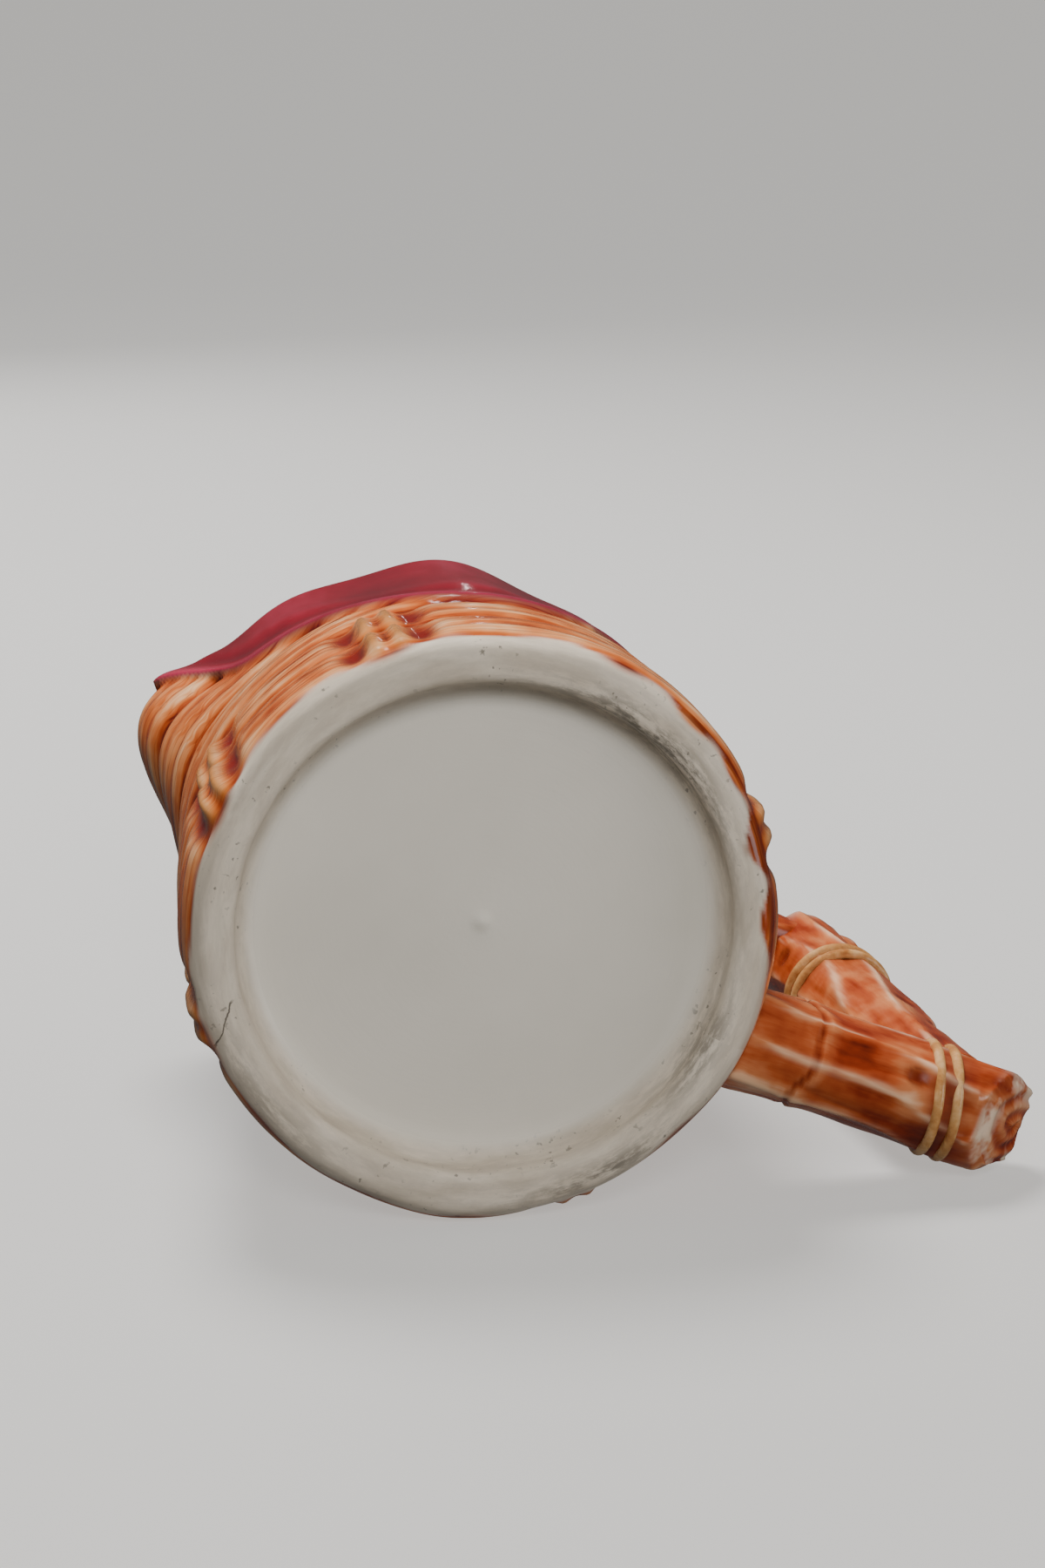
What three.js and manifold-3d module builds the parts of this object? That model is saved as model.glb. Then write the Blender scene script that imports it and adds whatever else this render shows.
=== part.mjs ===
// A small cream jug, slip cast in one piece: a body moulded as rows of tied straw with a cloth
// hanging over the rim, a pouring lip, and a handle moulded as lashed branches.
// Millimetres, +Z up, standing on its foot ring. The handle points to +Y and the lip to -Y.
import * as THREE from "three";
import { mergeVertices } from "three/addons/utils/BufferGeometryUtils.js";
import Module from "manifold-3d";

// Body
const HEIGHT = 86;
const FOOT_RADIUS = 38; // where the bare foot meets the moulded straw
const FOOT_STEP = 0.3; // how far the plain wall stands out past the foot's edge
const FOOT_BLEND = 22; // height by which the wall has turned from the foot's size to the belly's
const BELLY_RADIUS = 38.3; // just above the foot
const RIM_RADIUS = 34.8;
const WALL = 4;
const FLOOR = 4.5;
const RIM_ROUND = 1.4;

// Foot ring and the recess inside it
const FOOT_ROUND = 2.2; // rounding outside the flat band that the jug stands on
const RING_WIDTH = 1.8; // the flat band
const RING_ROLL = 1.4; // rounding inside it
const COVE = 4.3; // hollow sweep up to the recess's flat floor
const RECESS_DEPTH = 6;
const NUB_RADIUS = 1.6;
const NUB_HEIGHT = 0.5;

// Pouring lip
const LIP_REACH = 44;
const LIP_ANGLE = -94;
const LIP_SPREAD = 17; // degrees, half width of the bulge
const LIP_START = 34; // height where the wall starts to lean out

// Straw rows
const ROW_START = 1.6;
const ROW_PITCH = 16.2;
const ROW_SWELL = 0.95;
const STRANDS = 3;
const STRAND_RELIEF = 0.4;
const ROW_WANDER = 1.0;

// Ties: two ridges side by side across a row, with a hollow pocket on each side
const TIE_PHASE = 4; // degrees
const TIE_STEP = 45;
const LOW_TIES = [-2, -1, 1, 3, 5]; // steps round from the phase, on the two lowest rows
const HIGH_TIES = [0, 4]; // and on the third row
const TIE_RELIEF = 1.1;
const RIDGE_OFFSET = 1.7;
const RIDGE_WIDTH = 0.95;
const POCKET_OFFSET = 4.6;
const POCKET_WIDTH = 1.9;
const POCKET_DEPTH = 1.3;

// Cloth over the rim, one fall on each flank
const CLOTH_RELIEF = 1.5;
const CLOTH_EDGE = 2.4; // height over which the hem rounds down to the straw
const CLOTH_HEM = 46; // mean height of the hem
const CLOTH_SWING = 14; // how far the hem swings up and down
const CLOTH_WAVE = 2.4; // swings of the hem in a full turn
// Each fall: its middle and half width in degrees, and where in the hem's swing its middle is.
const CLOTH_FALLS = [
  { centre: -12, half: 84, phase: 180 },
  { centre: 184, half: 60, phase: 150 },
];
const CLOTH_FULLNESS = 1.6; // extra fullness near the handle

// Handle of lashed branches
const HANDLE_REACH = 81.6; // end of the low branch from the axis
const HANDLE_CORNER = 70; // where the upright stands on it
const HANDLE_TOP = 61; // the upright's upper end from the axis
const LOW_HEIGHT = 10.5;
const TOP_HEIGHT = 70;
const LOW_SIDE = -3; // sideways set of the low branch at the body
const END_SIDE = -0.6; // and at its cut end
const TOP_SIDE = 0.4;
const LOW_BRANCH = 7.1; // radii
const UPRIGHT_BRANCH = 7;
const TOP_BRANCH = 5.6;
const CUT_SLOPE = 0.95; // how far the low branch's cut leans back, per millimetre
const CUT_START = 0.78; // share of the branch at which the cut begins to lean it
const ROPE = 0.85;
const ROPE_GAP = 2.7;
const BRANCH_SIDES = 10;

// Facets
const COLUMN_STEP = 6.6; // degrees between plain columns
const ROW_LEVELS = [0, 0.12, 0.36, 0.64, 0.88];
const INNER_COLUMNS = 48;
const FOOT_COLUMNS = 56;
const ROPE_SIDES = 5;
const ROPE_SEGMENTS = 12;

const rad = THREE.MathUtils.degToRad;
const clamp = THREE.MathUtils.clamp;

function smooth(t) {
  const c = clamp(t, 0, 1);
  return c * c * (3 - 2 * c);
}

function bell(t) {
  return Math.exp(-t * t);
}

// Signed angle from b to a, in degrees, between -180 and 180.
function turn(a, b) {
  return ((((a - b) % 360) + 540) % 360) - 180;
}

// Plain wall radius without any moulding.
function wallRadius(angle, z) {
  const up = smooth((z - 0.08 * HEIGHT) / (0.92 * HEIGHT));
  const nearFoot = (FOOT_RADIUS + FOOT_STEP - BELLY_RADIUS) * (1 - smooth(z / FOOT_BLEND));
  const body = THREE.MathUtils.lerp(BELLY_RADIUS, RIM_RADIUS, up) + nearFoot;
  const lean = smooth((z - LIP_START) / (HEIGHT - LIP_START)) ** 1.2;
  const lip = (LIP_REACH - RIM_RADIUS) * lean * bell(turn(angle, LIP_ANGLE) / LIP_SPREAD);
  return body + lip;
}

// Height of the cloth's hem at an angle, above the rim where there is no cloth.
function hemHeight(angle) {
  const near = CLOTH_FALLS.find((f) => Math.abs(turn(angle, f.centre)) < f.half);
  if (!near) return HEIGHT + CLOTH_EDGE;
  const t = turn(angle, near.centre);
  const edge = smooth((Math.abs(t) - 0.66 * near.half) / (0.34 * near.half));
  const swing = CLOTH_SWING * Math.cos(rad(CLOTH_WAVE * t + near.phase)) * (1 - edge);
  return CLOTH_HEM + swing + (HEIGHT + CLOTH_EDGE - CLOTH_HEM) * edge;
}

// How much cloth covers the straw: 0 none, 1 all.
function clothCover(angle, z) {
  return smooth((z - hemHeight(angle)) / CLOTH_EDGE);
}

function clothRelief(angle, z) {
  const above = z - hemHeight(angle);
  const lobes = 0.7 * Math.cos(rad(8.5 * (angle + 38)));
  const roll = 0.5 * Math.sin(above / 2.6);
  const high = smooth(above / 26);
  const past = turn(angle, 5);
  const full = CLOTH_FULLNESS * smooth(past / 45) * (1 - smooth((past - 120) / 50)) * high;
  return CLOTH_RELIEF + lobes * high + roll * (1 - high) + full;
}

// Where a height lies in the straw: the row's number and the share of the row below it.
function rowAt(angle, z) {
  const low = smooth(z / ROW_PITCH);
  const wander = ROW_WANDER * (Math.sin(rad(3 * angle + 40)) + 0.5 * Math.sin(rad(8 * angle)));
  const u = (z - ROW_START - wander * low) / ROW_PITCH;
  return { row: Math.floor(u), share: u - Math.floor(u) };
}

function tiesOf(row) {
  if (row === 0 || row === 1) return LOW_TIES;
  return row === 2 ? HIGH_TIES : [];
}

// The tie's ridges stand out and its pockets cut in, both across one row.
function tieRelief(angle, row, share) {
  let relief = 0;
  for (const step of tiesOf(row)) {
    const across = rad(turn(angle, TIE_PHASE + TIE_STEP * step)) * BELLY_RADIUS;
    const band = 1 - Math.abs(2 * share - 1) ** 5;
    const ridge = bell((Math.abs(across) - RIDGE_OFFSET) / RIDGE_WIDTH);
    const diamond = 1 - Math.abs(2 * share - 1);
    const pocket = bell((Math.abs(across) - POCKET_OFFSET) / POCKET_WIDTH) * diamond ** 0.7;
    relief += TIE_RELIEF * ridge * band - POCKET_DEPTH * pocket;
  }
  return relief;
}

function strawRelief(angle, z) {
  const { row, share } = rowAt(angle, z);
  const swell = ROW_SWELL * (1 - Math.abs(2 * share - 1) ** 3);
  const strand = Math.abs(Math.sin(Math.PI * (STRANDS * share + 0.15 * Math.sin(rad(5 * angle)))));
  return swell + STRAND_RELIEF * strand + tieRelief(angle, row, share);
}

// The moulded outer surface.
function outerRadius(angle, z) {
  const cover = clothCover(angle, z);
  const straw = strawRelief(angle, z) * smooth((HEIGHT - z) / 4);
  const relief = straw * (1 - cover) + clothRelief(angle, z) * cover;
  return wallRadius(angle, z) + relief;
}

// Angles of the outer columns: close together at each tie, evenly spaced between them.
function outerColumns() {
  const across = [0, RIDGE_OFFSET, RIDGE_OFFSET + RIDGE_WIDTH, POCKET_OFFSET];
  across.push(POCKET_OFFSET + POCKET_WIDTH);
  const steps = [...LOW_TIES, ...HIGH_TIES];
  const fixed = new Set();
  for (const step of steps) {
    for (const a of across) {
      const away = THREE.MathUtils.radToDeg(a / BELLY_RADIUS);
      for (const side of [-1, 1]) {
        fixed.add((TIE_PHASE + TIE_STEP * step + side * away + 720) % 360);
      }
    }
  }
  const angles = [...fixed].sort((a, b) => a - b);
  const all = [];
  angles.forEach((start, i) => {
    const end = i + 1 < angles.length ? angles[i + 1] : angles[0] + 360;
    const parts = Math.max(1, Math.ceil((end - start) / COLUMN_STEP));
    for (let k = 0; k < parts; k++) all.push(start + ((end - start) * k) / parts);
  });
  return all;
}

function outerLevels() {
  const levels = [ROW_START];
  for (let row = 0; ROW_START + row * ROW_PITCH < HEIGHT; row++) {
    for (const share of ROW_LEVELS) levels.push(ROW_START + (row + share) * ROW_PITCH);
  }
  const top = HEIGHT - RIM_ROUND;
  const kept = levels.filter((z, i) => (i === 0 || z - levels[0] > 0.5) && z < top - 1);
  return [...kept, top];
}

function ring(angles, radiusAt, z) {
  return angles.map((angle) => {
    const r = radiusAt(angle);
    return new THREE.Vector3(r * Math.cos(rad(angle)), r * Math.sin(rad(angle)), z);
  });
}

function evenAngles(count) {
  return Array.from({ length: count }, (_, i) => (360 * i) / count);
}

// A closed body through rings of points that run anticlockwise about the direction of travel.
function loft(rings) {
  const count = rings[0].length;
  const points = rings.flat();
  const faces = [];
  for (let i = 0; i + 1 < rings.length; i++) {
    for (let j = 0; j < count; j++) {
      const a = i * count + j;
      const b = i * count + ((j + 1) % count);
      faces.push(a, b, b + count, a, b + count, a + count);
    }
  }
  const last = (rings.length - 1) * count;
  const middle = (points_) => points_.reduce((s, p) => s.add(p), new THREE.Vector3());
  points.push(middle(rings[0]).divideScalar(count));
  points.push(middle(rings.at(-1)).divideScalar(count));
  for (let j = 0; j < count; j++) {
    const k = (j + 1) % count;
    faces.push(points.length - 2, k, j, points.length - 1, last + j, last + k);
  }
  const geometry = new THREE.BufferGeometry().setFromPoints(points);
  return geometry.setIndex(faces);
}

function outerBody() {
  const columns = outerColumns();
  const rings = [
    ring(columns, () => FOOT_RADIUS - FOOT_ROUND, 0),
    ring(columns, () => FOOT_RADIUS - 0.25 * FOOT_ROUND, 0.7),
    ring(columns, () => FOOT_RADIUS, ROW_START),
  ];
  for (const z of outerLevels().slice(1)) {
    rings.push(ring(columns, (angle) => outerRadius(angle, z), z));
  }
  rings.push(ring(columns, (angle) => outerRadius(angle, HEIGHT) - RIM_ROUND, HEIGHT));
  return loft(rings);
}

// The hollow inside, which follows the lip but not the moulding.
function cavity() {
  const bottom = RECESS_DEPTH + FLOOR;
  const inside = (angle, z) => wallRadius(angle, z) - WALL + 0.6;
  const angles = evenAngles(INNER_COLUMNS);
  const rings = [
    ring(angles, (angle) => inside(angle, bottom) - 7, bottom),
    ring(angles, (angle) => inside(angle, bottom) - 2, bottom + 2),
    ring(angles, (angle) => inside(angle, bottom), bottom + 7),
  ];
  for (const share of [0.3, 0.5, 0.66, 0.8, 0.92]) {
    rings.push(ring(angles, (angle) => inside(angle, share * HEIGHT), share * HEIGHT));
  }
  const top = HEIGHT - RIM_ROUND;
  rings.push(ring(angles, (angle) => inside(angle, top), top));
  rings.push(ring(angles, (angle) => inside(angle, HEIGHT) + RIM_ROUND * 0.7, HEIGHT + 0.01));
  rings.push(ring(angles, (angle) => inside(angle, HEIGHT) + RIM_ROUND * 0.7, HEIGHT + 3));
  return loft(rings);
}

// The recess under the jug: a hollow cove up to a flat floor with a small nub in the middle.
function footRecess() {
  const angles = evenAngles(FOOT_COLUMNS);
  const flat = (radius, z) => ring(angles, () => radius, z);
  const band = FOOT_RADIUS - FOOT_ROUND - RING_WIDTH;
  const roll = band - RING_ROLL;
  return loft([
    flat(band, -1),
    flat(band, 0),
    flat(band - 0.6 * RING_ROLL, 0.09 * RECESS_DEPTH),
    flat(roll, 0.3 * RECESS_DEPTH),
    flat(roll - 0.35 * COVE, 0.74 * RECESS_DEPTH),
    flat(roll - COVE, RECESS_DEPTH),
    flat(NUB_RADIUS, RECESS_DEPTH),
    flat(NUB_RADIUS * 0.45, RECESS_DEPTH - NUB_HEIGHT),
  ]);
}

// A rustic branch between two points: uneven round section, and a cut end with worn edges.
function branch(from, to, radius, seed, slope = 0) {
  const axis = to.clone().sub(from);
  const along = axis.clone().normalize();
  const side = new THREE.Vector3(1, 0, 0).projectOnPlane(along).normalize();
  const other = along.clone().cross(side);
  const stops = [
    [0, 1],
    [0.2, 0.97],
    [0.4, 1.03],
    [0.6, 0.96],
    [0.8, 1.04],
    [0.93, 1.02],
    [1, 0.74],
  ];
  const rings = stops.map(([share, swell], i) =>
    Array.from({ length: BRANCH_SIDES }, (_, j) => {
      const a = (2 * Math.PI * j) / BRANCH_SIDES;
      const knobbly = 1 + 0.05 * Math.sin(3 * a + seed + i) + 0.04 * Math.sin(2 * a - 2 * seed);
      const r = radius * swell * knobbly;
      const out = side.clone().multiplyScalar(r * Math.cos(a)).addScaledVector(other, r * Math.sin(a));
      const cutShare = Math.max(0, (share - CUT_START) / (1 - CUT_START));
      const cutBack = slope * Math.min(0, out.z - 0.3 * radius) * cutShare;
      const centre = from.clone().addScaledVector(axis, share);
      return centre.add(out).addScaledVector(along, cutBack);
    }),
  );
  return loft(rings);
}

// Two turns of rope round a branch, at a share of its length.
function lashing(from, to, radius, share, about, tilt) {
  const along = to.clone().sub(from).normalize();
  const lean = new THREE.Quaternion().setFromAxisAngle(about, rad(tilt));
  const facing = new THREE.Quaternion().setFromUnitVectors(new THREE.Vector3(0, 0, 1), along);
  return [-0.5, 0.5].map((turnOffset) => {
    const rope = new THREE.TorusGeometry(radius + 0.25 * ROPE, ROPE, ROPE_SIDES, ROPE_SEGMENTS);
    const centre = from.clone().lerp(to, share).addScaledVector(along, turnOffset * ROPE_GAP);
    rope.applyQuaternion(facing).applyQuaternion(lean);
    return rope.translate(centre.x, centre.y, centre.z);
  });
}

function handle() {
  const acrossX = new THREE.Vector3(1, 0, 0);
  const upZ = new THREE.Vector3(0, 0, 1);
  const lowInner = new THREE.Vector3(LOW_SIDE, BELLY_RADIUS - 0.5 * WALL, LOW_HEIGHT);
  const lowEnd = new THREE.Vector3(END_SIDE, HANDLE_REACH, LOW_HEIGHT - 1);
  const corner = new THREE.Vector3(END_SIDE - 0.4, HANDLE_CORNER, LOW_HEIGHT);
  const top = new THREE.Vector3(TOP_SIDE, HANDLE_TOP, TOP_HEIGHT);
  const topEnd = top.clone().add(top.clone().sub(corner).setLength(0.6 * UPRIGHT_BRANCH));
  const upperInner = new THREE.Vector3(TOP_SIDE, RIM_RADIUS - 0.2 * WALL, TOP_HEIGHT - 3);
  const upperEnd = top.clone().add(new THREE.Vector3(0, TOP_BRANCH + 3, 1));
  return [
    branch(lowInner, lowEnd, LOW_BRANCH, 1, CUT_SLOPE),
    branch(corner, topEnd, UPRIGHT_BRANCH, 2),
    branch(upperInner, upperEnd, TOP_BRANCH, 3),
    ...lashing(lowInner, lowEnd, LOW_BRANCH, 0.705, upZ, -10),
    ...lashing(corner, topEnd, UPRIGHT_BRANCH, 0.66, acrossX, -2),
    ...lashing(upperInner, upperEnd, TOP_BRANCH, 0.42, acrossX, 8),
  ];
}

const wasm = await Module();
wasm.setup();

function solidOf(geometry) {
  geometry.deleteAttribute("normal");
  geometry.deleteAttribute("uv");
  const merged = mergeVertices(geometry, 1e-4);
  const vertProperties = merged.attributes.position.array;
  const triVerts = new Uint32Array(merged.index.array);
  return new wasm.Manifold(new wasm.Mesh({ numProp: 3, vertProperties, triVerts }));
}

function geometryOf(solid) {
  const { vertProperties, triVerts, numProp } = solid.getMesh();
  const geometry = new THREE.BufferGeometry();
  const points = new THREE.BufferAttribute(new Float32Array(vertProperties), numProp);
  geometry.setAttribute("position", points);
  geometry.setIndex(new THREE.BufferAttribute(new Uint32Array(triVerts), 1));
  geometry.computeVertexNormals();
  return geometry;
}

let jug = solidOf(outerBody());
for (const piece of handle()) jug = jug.add(solidOf(piece));
jug = jug.subtract(solidOf(cavity())).subtract(solidOf(footRecess()));

const glaze = new THREE.MeshStandardMaterial({ color: "#b8683a", roughness: 0.25, metalness: 0 });
const creamer = new THREE.Mesh(geometryOf(jug), glaze);
creamer.name = "creamer";
creamer.geometry.computeBoundingBox();
const middle = creamer.geometry.boundingBox.getCenter(new THREE.Vector3());
creamer.position.set(-middle.x, -middle.y, 0);

const group = new THREE.Group();
group.add(creamer);
export default group;
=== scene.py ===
# %% [markdown]
# A small cream jug lies on its side, and the picture looks at its foot. The jug was slip cast in one
# piece: straw rows tied at intervals, a cloth over the rim, a pouring lip and a handle of lashed
# branches are all clay under brown, gold and maroon glazes. Only the foot ring was wiped bare.
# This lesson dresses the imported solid, which stands upright, and sets the camera under it.

# %% Load the frame
import math

import bpy
import numpy as np
from mathutils import Matrix, Vector


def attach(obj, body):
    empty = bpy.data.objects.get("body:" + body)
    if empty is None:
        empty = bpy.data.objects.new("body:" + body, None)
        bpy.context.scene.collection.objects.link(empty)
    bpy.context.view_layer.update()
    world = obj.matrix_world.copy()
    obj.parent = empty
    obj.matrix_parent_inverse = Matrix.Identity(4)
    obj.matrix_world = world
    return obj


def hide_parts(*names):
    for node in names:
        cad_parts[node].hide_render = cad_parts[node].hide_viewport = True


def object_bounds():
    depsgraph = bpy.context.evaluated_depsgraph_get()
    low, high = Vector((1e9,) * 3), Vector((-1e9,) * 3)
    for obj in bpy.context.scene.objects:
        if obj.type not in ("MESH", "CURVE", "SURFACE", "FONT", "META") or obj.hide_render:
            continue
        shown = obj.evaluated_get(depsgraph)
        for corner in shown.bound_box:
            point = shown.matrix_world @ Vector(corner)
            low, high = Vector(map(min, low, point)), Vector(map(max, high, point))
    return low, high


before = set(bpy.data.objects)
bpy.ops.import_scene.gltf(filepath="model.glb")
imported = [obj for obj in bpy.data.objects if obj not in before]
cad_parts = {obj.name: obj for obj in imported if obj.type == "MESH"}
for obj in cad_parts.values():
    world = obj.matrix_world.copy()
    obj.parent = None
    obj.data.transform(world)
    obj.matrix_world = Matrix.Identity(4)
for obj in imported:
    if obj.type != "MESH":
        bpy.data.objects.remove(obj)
SOLID_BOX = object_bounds()
NODE = "creamer"
BODY = "root"
print("solid box", SOLID_BOX)


# %% [markdown]
# The sizes are the jug's own, in millimetres and degrees round its axis, with the foot at zero
# height. Angles run from +X, with the handle at 90 and the lip at -94. They are the same values as
# in the solid, so the fine surface lies on it.

# %% Sizes of the jug
HEIGHT = 86.0
FOOT_RADIUS = 38.0
BELLY_RADIUS = 38.3
RIM_RADIUS = 34.8
TAPER_START = 0.08
TAPER_LENGTH = 0.92
WALL = 3.4
FLOOR = 4.5
INNER_CORNER = 7.0
FOOT_ROUND = 2.2
RING_WIDTH = 1.8
RING_ROLL = 1.4
COVE = 4.3
COVE_SHARE = 0.72
RING_SHARE = 0.28
RECESS_DEPTH = 6.0
NUB_RADIUS = 1.6
NUB_HEIGHT = 0.5
LIP_REACH = 44.0
LIP_ANGLE = -94.0
LIP_SPREAD = 17.0
LIP_START = 34.0
LIP_EASE = 1.2
ROW_START = 1.6
ROW_PITCH = 16.2
ROW_SWELL = 0.95
STRANDS = 3
STRAND_RELIEF = 0.4
FINE_LINES = 8
FINE_RELIEF = 0.1
ROW_WANDER = 1.0
TIE_PHASE = 4.0
TIE_STEP = 45.0
LOW_TIES = (-2, -1, 1, 3, 5)
HIGH_TIES = (0, 4)
TIE_RELIEF = 1.1
RIDGE_OFFSET = 1.7
RIDGE_WIDTH = 0.95
POCKET_OFFSET = 4.6
POCKET_WIDTH = 1.9
POCKET_DEPTH = 1.3
CLOTH_RELIEF = 1.5
CLOTH_EDGE = 2.4
CLOTH_HEM = 46.0
CLOTH_SWING = 14.0
CLOTH_WAVE = 2.4
CLOTH_FALLS = ((-12.0, 84.0, 180.0), (184.0, 60.0, 150.0))
HEM_FLAT = 0.66
HEM_TURN = 0.34
CLOTH_LOBE = 0.7
LOBES_ROUND = 8.5
LOBE_PHASE = 38.0
LOBE_RISE = 26.0
HEM_ROLL = 0.5
HEM_ROLL_LENGTH = 2.6
CLOTH_FULLNESS = 1.6
FULL_FROM = 5.0
FULL_RISE = 45.0
FULL_TO = 120.0
FULL_FALL = 50.0
HANDLE_END = 81.88
MM = 0.001

AXIS = Vector((0.0, SOLID_BOX[1][1] - HANDLE_END * MM, 0.0))
print("jug axis in the frame", tuple(round(v, 5) for v in AXIS))


# %% [markdown]
# A few small functions shape everything: a soft step, a soft bump, and the turn between two
# angles. They work on whole arrays, because the clay surface has tens of thousands of points.

# %% Shaping functions
def smooth(t):
    c = np.clip(t, 0.0, 1.0)
    return c * c * (3 - 2 * c)


def bell(t):
    return np.exp(-np.square(t))


def turn(a, b):
    return (a - b + 540.0) % 360.0 - 180.0


def deg_sin(angle):
    return np.sin(np.radians(angle))


def deg_cos(angle):
    return np.cos(np.radians(angle))


# %% [markdown]
# The wall's plain radius leans out towards the pouring lip. The straw swells between grooves, each
# tie is two ridges with a pocket on each side, and the cloth covers the straw above its hem.

# %% The moulded wall
def wall_radius(angle, z):
    up = smooth((z - TAPER_START * HEIGHT) / (TAPER_LENGTH * HEIGHT))
    body = BELLY_RADIUS + (RIM_RADIUS - BELLY_RADIUS) * up
    lean = smooth((z - LIP_START) / (HEIGHT - LIP_START)) ** LIP_EASE
    lip = (LIP_REACH - RIM_RADIUS) * lean * bell(turn(angle, LIP_ANGLE) / LIP_SPREAD)
    return body + lip


def hem_height(angle):
    hem = np.full_like(angle, HEIGHT + CLOTH_EDGE)
    for centre, half, phase in CLOTH_FALLS:
        t = turn(angle, centre)
        edge = smooth((np.abs(t) - HEM_FLAT * half) / (HEM_TURN * half))
        swing = CLOTH_SWING * deg_cos(CLOTH_WAVE * t + phase) * (1 - edge)
        fall = CLOTH_HEM + swing + (HEIGHT + CLOTH_EDGE - CLOTH_HEM) * edge
        hem = np.where(np.abs(t) < half, fall, hem)
    return hem


def cloth_relief(angle, above):
    lobes = CLOTH_LOBE * deg_cos(LOBES_ROUND * (angle + LOBE_PHASE))
    roll = HEM_ROLL * np.sin(above / HEM_ROLL_LENGTH)
    high = smooth(above / LOBE_RISE)
    past = turn(angle, FULL_FROM)
    full = CLOTH_FULLNESS * smooth(past / FULL_RISE) * (1 - smooth((past - FULL_TO) / FULL_FALL)) * high
    return CLOTH_RELIEF + lobes * high + roll * (1 - high) + full


def row_at(angle, z):
    low = smooth(z / ROW_PITCH)
    wander = ROW_WANDER * (deg_sin(3 * angle + 40.0) + 0.5 * deg_sin(8 * angle))
    u = (z - ROW_START - wander * low) / ROW_PITCH
    row = np.floor(u)
    return row, u - row


def tie_parts(angle, row, share):
    ridges = np.zeros_like(share)
    pockets = np.zeros_like(share)
    rows_of = ((LOW_TIES, (row == 0) | (row == 1)), (HIGH_TIES, row == 2))
    diamond = 1 - np.abs(2 * share - 1)
    band = 1 - np.abs(2 * share - 1) ** 5
    for steps, here in rows_of:
        for step in steps:
            across = np.abs(np.radians(turn(angle, TIE_PHASE + TIE_STEP * step)) * BELLY_RADIUS)
            ridges += here * bell((across - RIDGE_OFFSET) / RIDGE_WIDTH) * band
            pockets += here * bell((across - POCKET_OFFSET) / POCKET_WIDTH) * diamond**0.7
    return ridges, pockets


def strand_lines(angle, row, share):
    sway = 0.15 * deg_sin(5 * angle)
    broad = np.abs(np.sin(np.pi * (STRANDS * share + sway)))
    drift = 0.6 * deg_sin(4 * angle + 80 * row) + 0.35 * deg_sin(9 * angle + 33 * row)
    fine = np.abs(np.sin(np.pi * (FINE_LINES * share + drift)))
    return broad, fine


# %% [markdown]
# Every surface of the jug is a flat grid that is rolled up: one direction runs round, the other
# runs along the profile. A plain grid is added, its points are placed by the moulding functions,
# and the seam and the poles are merged. Sculpting by hand could give the same relief, but it could
# not be kept in step with the solid. Values that the glaze needs are kept on the points.

# %% Rolling a grid into a closed surface
def deselect_all():
    for o in bpy.context.selected_objects:
        o.select_set(False)


def rolled_grid(name, places, values, wrap):
    """places is rows x columns x 3 in metres; values and wrap are kept for the glazes."""
    rows, columns = places.shape[:2]
    deselect_all()
    bpy.ops.mesh.primitive_grid_add(x_subdivisions=columns - 1, y_subdivisions=rows - 1, size=1.0)
    piece = bpy.context.object
    piece.name = name
    mesh = piece.data
    mesh.name = name
    mesh.vertices.foreach_set("co", places.reshape(-1).astype(np.float32))
    for key, value in values.items():
        layer = mesh.attributes.new(key, "FLOAT", "POINT")
        layer.data.foreach_set("value", np.ascontiguousarray(value, np.float32).reshape(-1))
    corner = np.empty(len(mesh.loops), np.int32)
    mesh.loops.foreach_get("vertex_index", corner)
    layer = mesh.uv_layers[0]
    layer.name = "wrap"
    layer.data.foreach_set("uv", wrap.reshape(-1, 2)[corner].reshape(-1).astype(np.float32))
    bpy.ops.object.mode_set(mode="EDIT")
    bpy.ops.mesh.select_all(action="SELECT")
    bpy.ops.mesh.remove_doubles(threshold=2e-6)
    bpy.ops.mesh.normals_make_consistent(inside=False)
    bpy.ops.object.mode_set(mode="OBJECT")
    bpy.ops.object.shade_smooth()
    print(name, "faces", len(mesh.polygons))
    return piece


def finish_piece(piece, material):
    piece.data.materials.clear()
    piece.data.materials.append(material)
    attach(piece, BODY)
    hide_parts(NODE)


# %% [markdown]
# A glaze is thin where it runs off a ridge and thick where it pools in a groove. The difference
# between the relief and its own blurred copy says which is which.

# %% Ridge and groove
def blurred(field, reach):
    """Mean over a window, round the jug and along the profile."""
    total = np.zeros_like(field)
    for step in range(-reach, reach + 1):
        total += np.roll(field, step, axis=1)
    field = total / (2 * reach + 1)
    padded = np.pad(field, ((reach, reach), (0, 0)), mode="edge")
    total = np.zeros_like(field)
    for step in range(2 * reach + 1):
        total += padded[step : step + field.shape[0]]
    return total / (2 * reach + 1)


# %% [markdown]
# The body is one surface: nub, recess, foot ring, moulded wall, rim, lining and inner floor. Its
# profile is a list of stations, and each station is a ring of points round the axis. A profile
# spun by a modifier would be quicker, but a round lathe shape can't hold straw, ties and a hem.

# %% Body stations
COLUMNS = 512
SEAM_ANGLE = 94.0
WALL_STEP = 0.72
GLAZE_RUN = 2.6
GLAZE_RUN_ANGLE = 50.0
WOBBLE_FROM = 33.0
RECESS_EDGE = 29.5
VALUE_NAMES = (
    "bare", "recess", "cloth", "tie", "pocket", "cavity", "wide", "hem", "lining", "strand", "scuff",
)
ring_angles = SEAM_ANGLE + np.linspace(0.0, 360.0, COLUMNS + 1)


def foot_wobble(angle):
    """The foot was trimmed by hand, so its edge isn't a true circle."""
    oval = 0.009 * deg_cos(2 * angle + 30.0)
    return 1 + oval + 0.005 * deg_sin(5 * angle) + 0.003 * deg_cos(11 * angle)


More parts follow.
